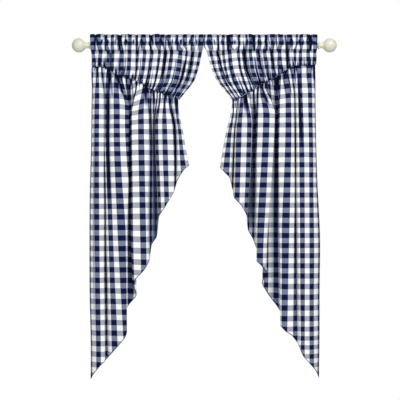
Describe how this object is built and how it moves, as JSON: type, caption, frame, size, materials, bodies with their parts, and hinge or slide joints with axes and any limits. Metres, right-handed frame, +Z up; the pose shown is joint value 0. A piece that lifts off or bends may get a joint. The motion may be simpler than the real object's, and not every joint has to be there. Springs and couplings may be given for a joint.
{
  "type": "swag curtain pair on rod",
  "caption": "Pair of gathered gingham swag curtains on a round rod with ball finials: ruffled heading, yoke and a skirt whose slanting hem falls to a point at each side.",
  "frame": {"origin": "the rod's axis, half way along it", "axes": "+X along the rod, to the right seen from the front; +Y towards the wall behind; +Z up"},
  "size_m": [1.227, 0.0809, 1.5975],
  "materials": {
    "gingham_cotton": "matte navy and white gingham, woven one inch checks",
    "ivory_finial": "ivory enamel, satin gloss",
    "ivory_rod": "ivory enamel, satin gloss"
  },
  "bodies": {
    "root": {"rod": "ivory_rod", "finial_left": "ivory_finial", "finial_right": "ivory_finial", "yoke_left": "gingham_cotton", "yoke_right": "gingham_cotton", "skirt_left": "gingham_cotton", "skirt_right": "gingham_cotton"}
  },
  "joints": []
}
